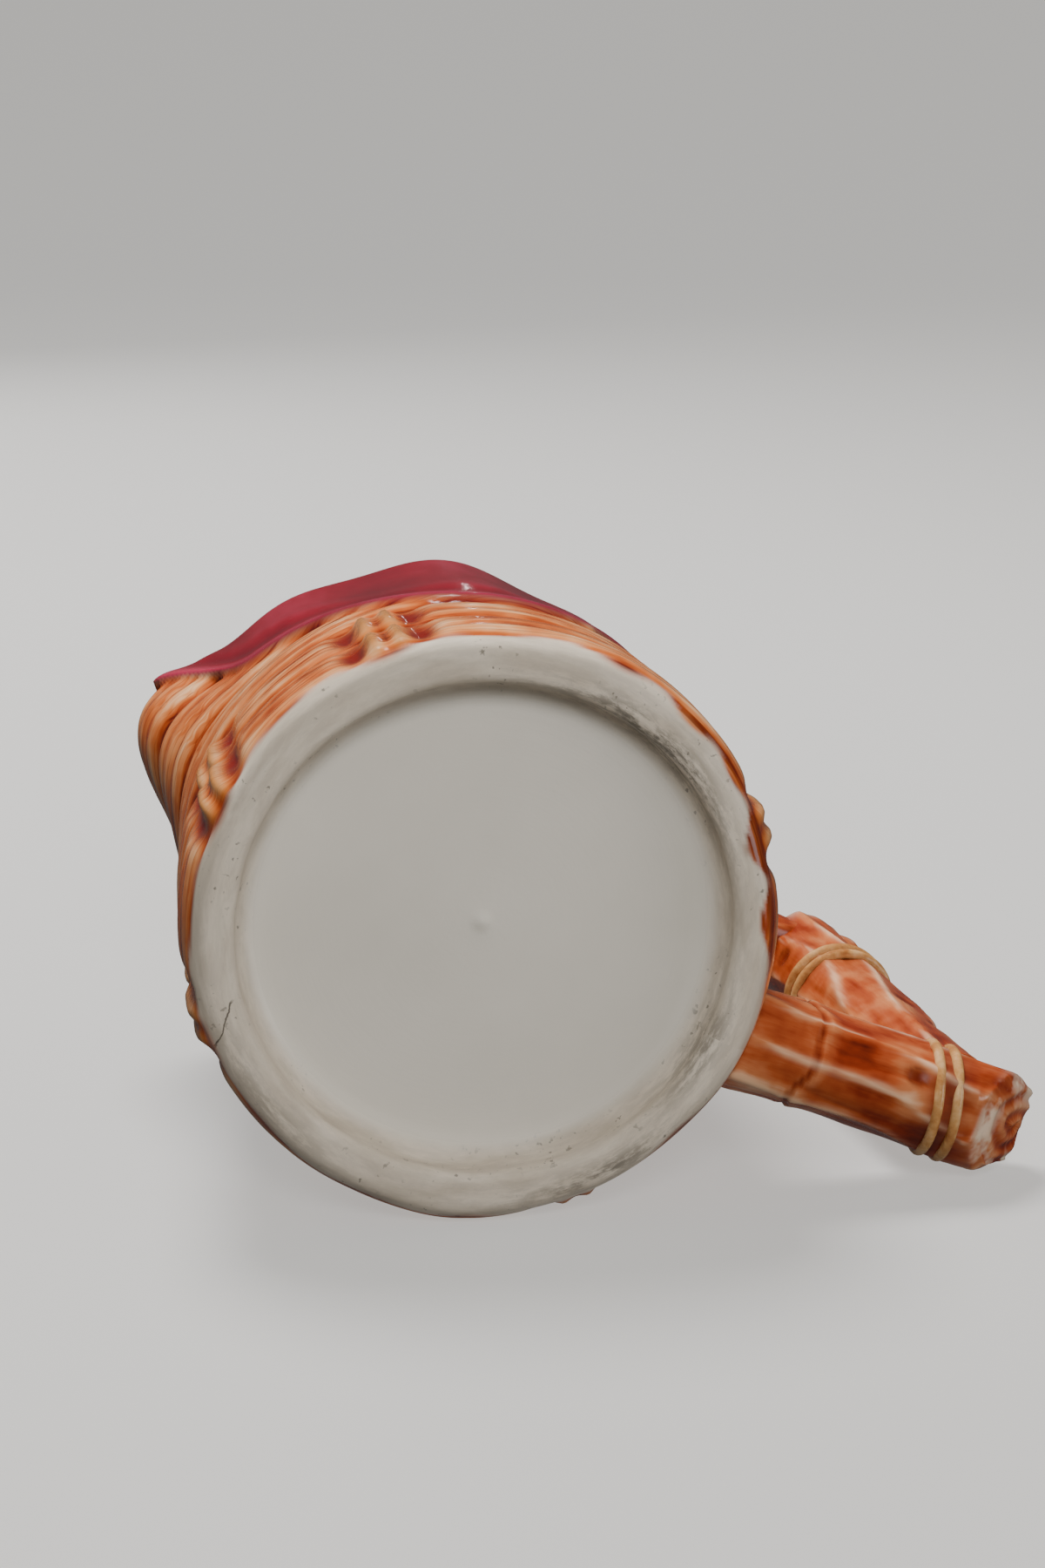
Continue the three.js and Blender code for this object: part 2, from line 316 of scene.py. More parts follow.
def under_stations():
    """Radius and height pairs from the nub to the edge of the foot."""
    band = FOOT_RADIUS - FOOT_ROUND - RING_WIDTH
    roll = band - RING_ROLL
    nub = [(0.0, RECESS_DEPTH - NUB_HEIGHT)]
    for share in (0.25, 0.5, 0.75, 1.0, 1.25):
        nub.append((NUB_RADIUS * share, RECESS_DEPTH - NUB_HEIGHT * float(bell(1.5 * share))))
    flat = [(r, RECESS_DEPTH) for r in (4.0, 9.0, 14.0, 19.0, 24.0, 26.5)]
    cove = []
    for t in np.linspace(0.0, 1.0, 10):
        out = roll - COVE + COVE * math.sin(t * math.pi / 2)
        drop = COVE_SHARE * RECESS_DEPTH * (1 - math.cos(t * math.pi / 2))
        cove.append((out, RECESS_DEPTH - drop))
    ring = []
    for t in np.linspace(0.15, 1.0, 6):
        lift = RING_SHARE * RECESS_DEPTH * (1 - math.sin(t * math.pi / 2))
        ring.append((roll + RING_ROLL * (1 - math.cos(t * math.pi / 2)), lift))
    ring += [(band + 0.9, 0.0), (FOOT_RADIUS - FOOT_ROUND, 0.01)]
    for t in (0.3, 0.55, 0.75, 0.9):
        round_up = ROW_START * (1 - math.sqrt(1 - t * t))
        ring.append((FOOT_RADIUS - FOOT_ROUND * (1 - t), round_up))
    return nub + flat + cove + ring


# %% [markdown]
# The relief of the moulded wall is worked out for all its levels at once, with what the glaze needs
# to know there: cloth, ties, pockets, grooves, the count of straws, and nearness to the hem. Brown
# glaze ran over the edge of the bare foot, furthest towards the handle, and the ring is rubbed in
# four places. These could be painted by hand, but a rule gives the same jug every time.

# %% Body surface
def wall_fields(levels):
    """The moulded wall's radius and its glaze values, one row for each level."""
    angle = ring_angles[None, :] * np.ones((len(levels), 1))
    z = levels[:, None] * np.ones_like(angle)
    row, share = row_at(angle, z)
    ridges, pockets = tie_parts(angle, row, share)
    broad, fine = strand_lines(angle, row, share)
    swell = ROW_SWELL * (1 - np.abs(2 * share - 1) ** 3)
    fade = smooth((HEIGHT - z) / 4.0) * smooth((z - ROW_START + 0.5) / 1.5)
    calm = np.clip(1 - ridges - pockets, 0, 1)
    straw = swell + (0.75 * STRAND_RELIEF * broad + FINE_RELIEF * fine) * calm
    straw = (straw + TIE_RELIEF * ridges - POCKET_DEPTH * pockets) * fade
    above = z - hem_height(angle)
    cover = smooth(above / CLOTH_EDGE)
    relief = straw * (1 - cover) + cloth_relief(angle, above) * cover
    values = {
        "cloth": cover,
        "tie": ridges * (1 - cover),
        "pocket": pockets * (1 - cover),
        "cavity": relief - blurred(relief, 5),
        "wide": relief - blurred(relief, 14),
        "strand": STRANDS * (row + share),
        # partly the glaze's own purple edging, partly painted shade under the cloth's turned hem
        "hem": bell((above - 1.0) / 2.2),
    }
    return wall_radius(angle, z) + relief, values


def glaze_run():
    """How far the brown ran over the edge of the foot, round the jug."""
    ragged = 0.7 + 0.3 * deg_sin(23 * ring_angles)
    run = GLAZE_RUN * bell(turn(ring_angles, GLAZE_RUN_ANGLE) / 30.0) * ragged
    return run + 0.35 * (deg_sin(7 * ring_angles) + deg_sin(16 * ring_angles + 50.0))


def scuff_at(radius):
    """The ring is rubbed in four places, two along its inner edge and two along its outer edge."""
    inner = bell(turn(ring_angles, 20.0) / 24.0) + 0.6 * bell(turn(ring_angles, 98.0) / 14.0)
    outer = 0.8 * bell(turn(ring_angles, 132.0) / 16.0) + 0.35 * bell(turn(ring_angles, -150.0) / 20.0)
    return 0.12 + inner * bell((radius - 33.4) / 1.5) + outer * bell((radius - 36.4) / 1.3)


def body_stations():
    stations = []

    def add(radii, heights, **values):
        full_ring = np.ones_like(ring_angles)
        keep = {key: values.get(key, 0.0) * full_ring for key in VALUE_NAMES}
        stations.append((radii * full_ring, heights * full_ring, keep))

    run = glaze_run()
    wobble = foot_wobble(ring_angles) - 1
    for r, h in under_stations():
        near_edge = smooth((r - WOBBLE_FROM) / (FOOT_RADIUS - WOBBLE_FROM))
        clean = 1 - smooth((r - FOOT_RADIUS + run - 0.2) / 0.7)
        deep = 1.0 - float(smooth((r - RECESS_EDGE) / 2.5))
        add(r * (1 + wobble * near_edge), h, bare=clean, recess=deep, scuff=scuff_at(r))

    levels = np.arange(ROW_START, HEIGHT - 1.5, WALL_STEP)
    radius, values = wall_fields(levels)
    for i, level in enumerate(levels):
        ease = wobble * (1 - smooth((level - ROW_START) / 7.0))
        clean = 1.0 - smooth((level - ROW_START + run) / 0.8)
        add(radius[i] * (1 + ease), level, bare=clean, **{key: value[i] for key, value in values.items()})

    outer_top = radius[-1]
    inner_top = wall_radius(ring_angles, HEIGHT) - WALL
    mean = 0.5 * (outer_top + inner_top)
    half = 0.5 * (outer_top - inner_top)
    top_level = levels[-1]
    for t in np.linspace(0.12, 1.0, 8):
        lift = (HEIGHT - top_level) * math.sin(t * math.pi)
        inward = float(smooth((t - 0.35) / 0.3))
        add(mean + half * math.cos(t * math.pi), top_level + lift, cloth=values["cloth"][-1], lining=inward)

    bottom = RECESS_DEPTH + FLOOR
    for level in np.linspace(top_level - 3.0, bottom + INNER_CORNER + 1.0, 14):
        add(wall_radius(ring_angles, level) - WALL, level, lining=1.0)
    corner = wall_radius(ring_angles, bottom + INNER_CORNER) - WALL
    for t in np.linspace(0.0, 1.0, 7):
        inward = INNER_CORNER * (1 - math.cos(t * math.pi / 2))
        down = INNER_CORNER * math.sin(t * math.pi / 2)
        add(corner - inward, bottom + INNER_CORNER - down, lining=1.0)
    for share_in in (0.75, 0.5, 0.25, 0.0):
        add((corner - INNER_CORNER) * share_in, bottom, lining=1.0)
    return stations


stations = body_stations()
radii = np.array([s[0] for s in stations])
heights = np.array([s[1] for s in stations])
places = np.empty(radii.shape + (3,))
places[..., 0] = radii * deg_cos(ring_angles) * MM + AXIS.x
places[..., 1] = radii * deg_sin(ring_angles) * MM + AXIS.y
places[..., 2] = heights * MM
values = {k: np.array([s[2][k] for s in stations]) for k in VALUE_NAMES}
along = np.zeros_like(radii)
along[1:] = np.cumsum(np.hypot(np.diff(radii, axis=0), np.diff(heights, axis=0)), axis=0)
round_way = np.radians(ring_angles - SEAM_ANGLE) * BELLY_RADIUS * np.ones_like(radii)
wrap = np.stack([round_way, along], -1) * MM
body = rolled_grid("jug_body", places, values, wrap)


# %% [markdown]
# The handle is three cuts of branch, a low one, an upright one and a top one, lashed together with
# rope. These are their places in jug millimetres: +Y runs out along the handle, +Z up.

# %% Handle sizes
HANDLE_REACH = 81.6
HANDLE_CORNER = 70.0
HANDLE_TOP = 61.0
LOW_HEIGHT = 10.5
TOP_HEIGHT = 70.0
LOW_SIDE = -3.0
END_SIDE = -0.6
TOP_SIDE = 0.4
LOW_BRANCH = 7.1
UPRIGHT_BRANCH = 7.0
TOP_BRANCH = 5.6
CUT_SLOPE = 0.95
CUT_START = 0.78
CUT_ABOVE = 0.3
ROPE = 0.85
ROPE_GAP = 2.7

low_inner = Vector((LOW_SIDE, BELLY_RADIUS - 2.0, LOW_HEIGHT))
low_end = Vector((END_SIDE, HANDLE_REACH, LOW_HEIGHT - 1.0))
corner_point = Vector((END_SIDE - 0.4, HANDLE_CORNER, LOW_HEIGHT))
top_point = Vector((TOP_SIDE, HANDLE_TOP, TOP_HEIGHT))
top_end = top_point + (top_point - corner_point).normalized() * 0.6 * UPRIGHT_BRANCH
upper_inner = Vector((TOP_SIDE, RIM_RADIUS - 0.8, TOP_HEIGHT - 3.0))
upper_end = top_point + Vector((0.0, TOP_BRANCH + 3.0, 1.0))
print("low branch", low_inner, "to", low_end)


# %% [markdown]
# The branches are rustic: facets left by a knife, grain grooves, knots, and a cut end with growth
# rings. A cylinder with a displacement could carry the facets, but not a knot at a chosen place, so
# each is a rolled grid along its own axis, with a domed cut at the free end.

# %% Branch
BRANCH_COLUMNS = 120
BRANCH_STEP = 0.55
FACETS = 7
KNIFE_CUT = 0.075
GRAIN_DEPTH = 0.22
END_ROUND = 3.2
END_TAPER = 0.17
GROWTH_RING = 0.2


def side_vectors(direction):
    along = direction.normalized()
    side = Vector((1.0, 0.0, 0.0))
    side = (side - along * side.dot(along)).normalized()
    return along, side, along.cross(side)


def branch_relief(u, a, length, radius, seed, knots, node_line):
    """Relief in millimetres, the facets' edges, and how dark the knots and the joint line are."""
    wind = 0.35 * np.sin(4 * u + seed) + 0.12 * np.sin(11 * u + 2 * seed) + 0.2 * seed
    facet = np.mod(a * 0.5 * FACETS / math.pi + wind, 1.0) - 0.5
    edge = bell((0.5 - np.abs(facet)) / 0.09)
    knife = KNIFE_CUT * (4 * np.square(facet) - 0.33)
    lump = 0.035 * np.sin(3 * a + seed + 5 * u) + 0.03 * np.sin(8 * u + 2 * seed)
    grain = np.abs(np.sin(6 * a + 1.4 * np.sin(5 * u + seed) + 0.5 * np.sin(13 * u)))
    grain = grain * (0.6 + 0.4 * np.sin(7 * u + 2 * a + seed))
    relief = radius * (knife + lump) + GRAIN_DEPTH * grain - 0.15
    dark = np.zeros_like(u)
    for share, angle, size in knots:
        round_way = (np.mod(a - angle + math.pi, 2 * math.pi) - math.pi) * radius
        d = np.hypot((u - share) * length, round_way) / size
        relief -= 0.3 * size * bell(d / 1.1)
        dark += 0.45 * bell(d / 1.1) + 0.4 * bell((d - 1.0) / 0.25)
    if node_line is not None:
        bend = node_line + 0.02 * np.sin(2 * a) + 0.008 * np.sin(5 * a)
        relief += 0.35 * bell((u - bend - 0.012) * length / 1.6)
        relief -= 0.45 * bell((u - bend) * length / 0.4)
        dark += 0.35 * bell((u - bend) * length / 0.45)
    return relief, edge, dark


def branch(name, start, end, radius, seed, knots=(), lashed=0.5, node_line=None, slope=0.0, paler=0.0):
    """A branch from start to end in jug millimetres; knots are (share along, angle, size)."""
    length = (end - start).length
    shares = np.linspace(0.0, 1.0, max(40, int(length / BRANCH_STEP)))
    around = np.linspace(0.0, 2 * math.pi, BRANCH_COLUMNS + 1)
    u, a = np.meshgrid(shares, around, indexing="ij")
    relief, edge, dark = branch_relief(u, a, length, radius, seed, knots, node_line)
    direction, side, other = side_vectors(end - start)
    end_in = smooth((u - 1 + END_ROUND / length) * length / END_ROUND)
    radial = (radius + relief) * (1 - END_TAPER * end_in**2)
    rise = np.cos(a) * side.z + np.sin(a) * other.z
    cut_share = np.clip((u - CUT_START) / (1 - CUT_START), 0.0, 1.0)
    cut_back = slope * np.minimum(0.0, radial * rise - CUT_ABOVE * radius) * cut_share
    along_mm = u * length + cut_back
    rows = {
        "cavity": relief - blurred(relief, 4) + paler * (1 - smooth(u / 0.45)),
        "pocket": dark,
        "edge": edge * (1 - end_in),
        "worn": bell((1 - u) * length / 2.2),
        # painted shade on the branch round its rope lashing
        "shade": bell((u - lashed) * length / 2.6),
    }

    cap_share = np.linspace(0.95, 0.0, 20)[:, None]
    cap_radial = radial[-1] * cap_share
    rings = np.sin(cap_share * 15.0 + around + 0.5 * np.sin(3 * around + seed))
    rings = GROWTH_RING * rings * (cap_share > 0)
    cap_back = slope * np.minimum(0.0, cap_radial * rise[-1] - CUT_ABOVE * radius)
    cap_along = length + 0.5 * (1 - cap_share**2) + rings + cap_back
    blank = np.zeros_like(cap_radial)
    cap = {"cavity": 1.2 * rings, "worn": blank + bell((1 - cap_share) * radius / 2.6)}

    values = {key: np.vstack([row[0], row, cap.get(key, blank)]) for key, row in rows.items()}
    radial = np.vstack([radial[0] * 0.0, radial, cap_radial])[..., None]
    along_mm = np.vstack([along_mm[0], along_mm, cap_along])
    angle = np.vstack([a[0], a, blank + around])
    spine = np.array(start) + along_mm[..., None] * np.array(direction)
    spoke = np.cos(angle)[..., None] * np.array(side) + np.sin(angle)[..., None] * np.array(other)
    places = (spine + radial * spoke) * MM + np.array(AXIS)
    wrap = np.stack([angle * radius, along_mm], -1) * MM
    return rolled_grid(name, places, values, wrap)


LOW_LASHED = 0.705
UPRIGHT_LASHED = 0.66
TOP_LASHED = 0.42
low_knots = [(0.589, 1.05, 1.2), (0.45, 4.4, 1.6)]
upright_knots = [(0.375, 0.1, 1.4), (0.24, 0.42, 1.5), (0.5, 3.3, 1.6), (0.8, 4.9, 1.3)]
top_knots = [(0.35, 4.0, 1.3), (0.3, 1.2, 1.2)]
low_branch = branch(
    "low_branch", low_inner, low_end, LOW_BRANCH, 1.0, low_knots, LOW_LASHED, 0.268, CUT_SLOPE, 0.3
)
upright_branch = branch(
    "upright_branch", corner_point, top_end, UPRIGHT_BRANCH, 2.0, upright_knots, UPRIGHT_LASHED
)
top_branch = branch("top_branch", upper_inner, upper_end, TOP_BRANCH, 3.0, top_knots, TOP_LASHED)


# %% [markdown]
# Rope lashings are pairs of turns round a branch. A torus is added at its place and leaned a little.
# A curve with a bevel could wind a true spiral, but the moulded rope shows as two closed rings.

# %% Rope lashings
ROPE_SINK = 0.25
ROPE_THICK = 0.86


def rope_ring(name, centre, direction, radius, about, lean):
    deselect_all()
    bpy.ops.mesh.primitive_torus_add(
        major_radius=(radius + ROPE_SINK * ROPE) * MM,
        minor_radius=ROPE_THICK * ROPE * MM,
        major_segments=96,
        minor_segments=16,
    )
    piece = bpy.context.object
    piece.name = name
    facing = direction.to_track_quat("Z", "Y").to_matrix().to_4x4()
    leaning = Matrix.Rotation(math.radians(lean), 4, about)
    place = Matrix.Translation(AXIS + centre * MM) @ leaning @ facing
    piece.data.transform(place)
    bpy.ops.object.shade_smooth()
    return piece


def lashing(name, start, end, radius, share, about, lean):
    direction = (end - start).normalized()
    middle = start.lerp(end, share)
    made = []
    for i, step in enumerate((-0.5, 0.5)):
        centre = middle + direction * step * ROPE_GAP
        made.append(rope_ring(f"{name}_{i + 1}", centre, direction, radius, about, lean))
    return made


ropes = lashing("low_lashing", low_inner, low_end, LOW_BRANCH, LOW_LASHED, "Z", -10.0)
ropes += lashing("upright_lashing", corner_point, top_end, UPRIGHT_BRANCH, UPRIGHT_LASHED, "X", -2.0)
ropes += lashing("top_lashing", upper_inner, upper_end, TOP_BRANCH, TOP_LASHED, "X", 8.0)
print("rope turns", len(ropes))


# %% [markdown]
# Glazes next. Colours are written as the eye names them and turned to linear light by one function,
# and one function adds a node with its settings and links.

# %% Node helpers
def linear(hex_colour):
    parts = [int(hex_colour[i : i + 2], 16) / 255 for i in (1, 3, 5)]
    lin = [c / 12.92 if c <= 0.04045 else ((c + 0.055) / 1.055) ** 2.4 for c in parts]
    return (*lin, 1.0)


def node(tree, kind, settings=None, **links):
    """Adds a node; settings are its properties, and links are input names or i0, i1 to values."""
    made = tree.nodes.new(kind)
    for key, value in (settings or {}).items():
        setattr(made, key, value)
    for key, value in links.items():
        numbered = key[0] == "i" and key[1:].isdigit()
        socket = made.inputs[int(key[1:]) if numbered else key.replace("_", " ")]
        if isinstance(value, bpy.types.NodeSocket):
            tree.links.new(value, socket)
        else:
            socket.default_value = value
    return made


def new_glaze(name):
    material = bpy.data.materials.new(name)
    material.use_nodes = True
    tree = material.node_tree
    tree.nodes.clear()
    out = tree.nodes.new("ShaderNodeOutputMaterial")
    shader = tree.nodes.new("ShaderNodeBsdfPrincipled")
    tree.links.new(shader.outputs["BSDF"], out.inputs["Surface"])
    return material, tree, shader


def attribute(tree, name):
    return node(tree, "ShaderNodeAttribute", {"attribute_name": name}).outputs["Fac"]


def blend_colour(tree, share, under, over):
    made = node(tree, "ShaderNodeMix", {"data_type": "RGBA"}, i0=share, i6=under, i7=over)
    return made.outputs[2]


def ramp(tree, value, stops):
    made = node(tree, "ShaderNodeValToRGB", None, i0=value)
    band = made.color_ramp
    while len(band.elements) < len(stops):
        band.elements.new(0.5)
    for element, (place, colour) in zip(band.elements, stops):
        element.position = place
        element.color = linear(colour) if isinstance(colour, str) else (colour, colour, colour, 1.0)
    return made.outputs["Color"]


def math_node(tree, operation, a, b=0.0, clamp=False):
    made = node(tree, "ShaderNodeMath", {"operation": operation, "use_clamp": clamp}, i0=a, i1=b)
    return made.outputs[0]


def times(tree, a, b, clamp=False):
    return math_node(tree, "MULTIPLY", a, b, clamp)


def plus(tree, a, b):
    return math_node(tree, "ADD", a, b)


def mix_in(tree, level, field, weight):
    """Adds a noise field, centred on zero, to a level."""
    return plus(tree, level, times(tree, math_node(tree, "SUBTRACT", field, 0.5), weight))


def noise(tree, vector, size_mm, detail=4.0, roughness=0.55, distortion=0.0):
    """Noise whose feature is about this many millimetres."""
    made = node(
        tree,
        "ShaderNodeTexNoise",
        None,
        Vector=vector,
        Scale=1000.0 / size_mm,
        Detail=detail,
        Roughness=roughness,
        Distortion=distortion,
    )
    return made.outputs["Fac"]


def stretched(tree, vector, scale):
    return node(tree, "ShaderNodeMapping", None, Vector=vector, Scale=scale).outputs[0]


def add_bump(tree, shader, height, strength, depth_mm):
    bump = node(tree, "ShaderNodeBump", None, Strength=strength, Distance=depth_mm * MM, Height=height)
    tree.links.new(bump.outputs[0], shader.inputs["Normal"])


def object_place(tree):
    return node(tree, "ShaderNodeTexCoord").outputs["Object"]


def wrap_place(tree):
    return node(tree, "ShaderNodeUVMap", {"uv_map": "wrap"}).outputs[0]


# %% [markdown]
# Straw glaze is a translucent brown over a pale body: nearly bare tan on the ridges, orange on the
# slopes, deep red-brown where it pools. Brush streaks follow the straw, so they read the wrap map.
# Thin brown lines follow the "strand" value, which counts the straws from the foot up.

# %% Straw and cloth glaze
STRAW = {"pool": "#5E1608", "deep": "#9C3C14", "mid": "#C4652E", "light": "#D88B54", "pale": "#E9BC8E"}
STRAW_STOPS = ((0.1, "pool"), (0.28, "deep"), (0.5, "mid"), (0.7, "light"), (0.98, "pale"))
# edge is the purple along the hem: partly the glaze's own colour, partly painted shade under the turned
# edge.
CLOTH = {"dark": "#560614", "mid": "#86081F", "light": "#B02C46", "edge": "#4A0A26"}
CLAY = {"mid": "#C6B8A4", "light": "#DCCFBC", "dirt": "#7C7468", "crack": "#4E463C"}
RECESS = ("#DAD3C5", "#E2DBCE")
LINING = ("#CFC4AE", "#DED5C2")
TIE_GOLD = "#B9722F"
POCKET_RED = "#74140A"
LINE_BROWN = "#6E220A"
REED_LINES = ((1.0, 0.16, 0.9), (2.6, 0.2, 0.6))
GLAZE_ROUGHNESS = 0.12
CLAY_ROUGHNESS = 0.42


def straw_lines(tree, straw, stretch):
    sway = noise(tree, stretch, 4.0, 3.0, 0.5)
    for reeds, thick, weight in REED_LINES:
        phase = mix_in(tree, times(tree, attribute(tree, "strand"), reeds * math.pi), sway, 2.4)
        gap = math_node(tree, "ABSOLUTE", math_node(tree, "SINE", phase))
        line = ramp(tree, gap, [(0.0, 1.0), (thick, 0.0)])
        broken = ramp(tree, noise(tree, stretch, 2.2, 2.0), [(0.36, 0.0), (0.52, 1.0)])
        share = times(tree, times(tree, line, broken), weight)
        straw = blend_colour(tree, share, straw, linear(LINE_BROWN))
    return straw


def straw_colour(tree, wrap_vector, place):
    stretch = stretched(tree, wrap_vector, (0.09, 1.0, 1.0))
    streak = noise(tree, stretch, 1.1, 5.0, 0.6)
    level = plus(tree, times(tree, attribute(tree, "cavity"), 0.7), 0.52)
    level = mix_in(tree, level, streak, 0.8)
    level = mix_in(tree, level, noise(tree, place, 12.0, 3.0, 0.55), 1.3)
    straw = ramp(tree, level, [(stop, STRAW[name]) for stop, name in STRAW_STOPS])
    straw = straw_lines(tree, straw, stretch)
    pocket = times(tree, attribute(tree, "pocket"), 1.2, True)
    straw = blend_colour(tree, pocket, straw, linear(POCKET_RED))
    tie = times(tree, attribute(tree, "tie"), 0.95, True)
    return blend_colour(tree, tie, straw, linear(TIE_GOLD)), streak


def cloth_colour(tree, wrap_vector):
    fold_way = stretched(tree, wrap_vector, (1.0, 0.35, 1.0))
    level = plus(tree, times(tree, attribute(tree, "wide"), 0.45), 0.5)
    level = mix_in(tree, level, noise(tree, fold_way, 14.0, 3.0, 0.5), 0.55)
    level = mix_in(tree, level, noise(tree, fold_way, 3.0, 4.0, 0.6), 0.25)
    cloth = ramp(tree, level, [(0.15, CLOTH["dark"]), (0.5, CLOTH["mid"]), (0.85, CLOTH["light"])])
    # Darker purple along the hem: partly the glaze's own edging, partly painted shade under the turned edge.
    hem = times(tree, attribute(tree, "hem"), 0.75)
    return blend_colour(tree, hem, cloth, linear(CLOTH["edge"]))


# %% [markdown]
# The foot ring is bare clay: smeared, scratched where it has stood, pitted in clusters, and cracked
# by a hairline at one place. The recess behind it is glazed clear. A crack could be cut in the mesh,
# but it has no width to speak of, so it is a thin dark line in the colour.

# %% Clay of the foot
CRACK_FROM = (-19.9, -27.3)
CRACK_LENGTH = 8.0
CRACK_TURN = 177.0


def crack_line(tree, place):
    """A hairline crack across the foot ring: 1 on the line and 0 elsewhere."""
    start = AXIS + Vector((*CRACK_FROM, 0.0)) * MM
    way = math.radians(-CRACK_TURN)
    moved = node(tree, "ShaderNodeVectorMath", {"operation": "SUBTRACT"}, i0=place, i1=start).outputs[0]
    laid = node(tree, "ShaderNodeMapping", None, Vector=moved, Rotation=(0.0, 0.0, way)).outputs[0]
    parts = node(tree, "ShaderNodeSeparateXYZ", None, i0=laid)
    off = mix_in(tree, parts.outputs[1], noise(tree, place, 2.5, 3.0), 1.6 * MM)
    off = times(tree, math_node(tree, "ABSOLUTE", off), 1 / MM)
    run = times(tree, parts.outputs[0], 1 / (CRACK_LENGTH * MM))
    thin = ramp(tree, off, [(0.07, 0.85), (0.16, 0.0)])
    inside = ramp(tree, run, [(0.0, 0.0), (0.08, 1.0), (0.8, 1.0), (1.0, 0.0)])
    return times(tree, thin, inside)


def clay_colour(tree, wrap_vector, place):
    ring_way = stretched(tree, wrap_vector, (0.25, 1.0, 1.0))
    smear = noise(tree, ring_way, 4.0, 6.0, 0.65, 0.5)
    clay = ramp(tree, smear, [(0.35, CLAY["mid"]), (0.6, CLAY["light"])])
    scratch = ramp(tree, noise(tree, ring_way, 1.6, 5.0, 0.75), [(0.42, 0.0), (0.56, 1.0)])
    rubbed = times(tree, times(tree, scratch, attribute(tree, "scuff")), 1.1, True)
    clay = blend_colour(tree, rubbed, clay, linear(CLAY["dirt"]))
    pits = ramp(tree, noise(tree, place, 1.1, 2.0, 0.6), [(0.31, 1.0), (0.36, 0.0)])
    cluster = ramp(tree, noise(tree, place, 9.0, 2.0), [(0.46, 0.0), (0.6, 0.85)])
    clay = blend_colour(tree, times(tree, pits, cluster), clay, linear(CLAY["dirt"]))
    clay = blend_colour(tree, crack_line(tree, place), clay, linear(CLAY["crack"]))
    recess = ramp(tree, noise(tree, place, 26.0, 3.0), [(0.3, RECESS[0]), (0.7, RECESS[1])])
    return blend_colour(tree, attribute(tree, "recess"), clay, recess)


def body_glaze():
    material, tree, shader = new_glaze("tinted_glaze_over_earthenware")
    place = object_place(tree)
    wrap_vector = wrap_place(tree)
    colour, streak = straw_colour(tree, wrap_vector, place)
    colour = blend_colour(tree, attribute(tree, "cloth"), colour, cloth_colour(tree, wrap_vector))
    lining = ramp(tree, noise(tree, place, 20.0, 2.0), [(0.3, LINING[0]), (0.7, LINING[1])])
    colour = blend_colour(tree, attribute(tree, "lining"), colour, lining)
    bare = attribute(tree, "bare")
    colour = blend_colour(tree, bare, colour, clay_colour(tree, wrap_vector, place))
    tree.links.new(colour, shader.inputs["Base Color"])

    matt = math_node(tree, "SUBTRACT", bare, times(tree, attribute(tree, "recess"), 0.75))
    rough = plus(tree, times(tree, matt, CLAY_ROUGHNESS), GLAZE_ROUGHNESS)
    tree.links.new(rough, shader.inputs["Roughness"])
    shader.inputs["IOR"].default_value = 1.45
    ripple = times(tree, noise(tree, place, 1.6, 2.0, 0.4), 0.25)
    fine = times(tree, noise(tree, place, 0.35, 2.0, 0.5), 0.12)
    height = mix_in(tree, plus(tree, ripple, fine), streak, 0.6)
    add_bump(tree, shader, height, 0.35, 0.2)
    return material


# %% [markdown]
# The branches carry the same brown glaze, brushed along the grain: pale cream where it wore off the
# high places and the cut ends, dark in the knots, and painted shade on each side of a rope lashing.
# The ropes were picked out in gold.

# %% Branch and rope glaze
BRANCH_STOPS = [(0.1, "#4C1206"), (0.32, "#842B10"), (0.54, "#A84D26"), (0.76, "#C27548"), (0.98, "#DFAC84")]
EDGE_CREAM = "#E8C6A2"
END_CREAM = "#EBD3B8"
# Painted shade: the colour that darkens a branch beside its rope lashing.
PAINTED_ROPE_SHADE = "#5A2A22"
KNOT_BROWN = "#4A150A"
ROPE_STOPS = [(0.3, "#9C5E2E"), (0.5, "#C08C54"), (0.7, "#D8AE7C")]
HANDLE_ROUGHNESS = 0.2


def branch_glaze():
    material, tree, shader = new_glaze("brown_glaze_on_branches")
    place = object_place(tree)
    stretch = stretched(tree, wrap_place(tree), (1.0, 0.16, 1.0))
    streak = noise(tree, stretch, 1.8, 5.0, 0.6, 0.4)
    level = plus(tree, times(tree, attribute(tree, "cavity"), 0.7), 0.5)
    level = mix_in(tree, level, streak, 0.55)
    level = mix_in(tree, level, noise(tree, place, 9.0, 3.0, 0.5), 1.3)
    colour = ramp(tree, level, BRANCH_STOPS)
    broken = ramp(tree, noise(tree, stretch, 3.0, 3.0), [(0.46, 0.0), (0.6, 1.0)])
    pale = times(tree, times(tree, attribute(tree, "edge"), broken), 0.65)
    colour = blend_colour(tree, pale, colour, linear(EDGE_CREAM))
    # Painted shade: the branch is darkened on each side of its rope lashing.
    shade = times(tree, attribute(tree, "shade"), 0.55)
    colour = blend_colour(tree, shade, colour, linear(PAINTED_ROPE_SHADE))
    dark = times(tree, attribute(tree, "pocket"), 0.9, True)
    colour = blend_colour(tree, dark, colour, linear(KNOT_BROWN))
    patches = ramp(tree, noise(tree, place, 5.0, 3.0), [(0.44, 0.0), (0.56, 1.0)])
    worn = times(tree, times(tree, attribute(tree, "worn"), patches), 0.9)
    colour = blend_colour(tree, worn, colour, linear(END_CREAM))
    tree.links.new(colour, shader.inputs["Base Color"])
    shader.inputs["Roughness"].default_value = HANDLE_ROUGHNESS
    add_bump(tree, shader, streak, 0.2, 0.2)
    return material


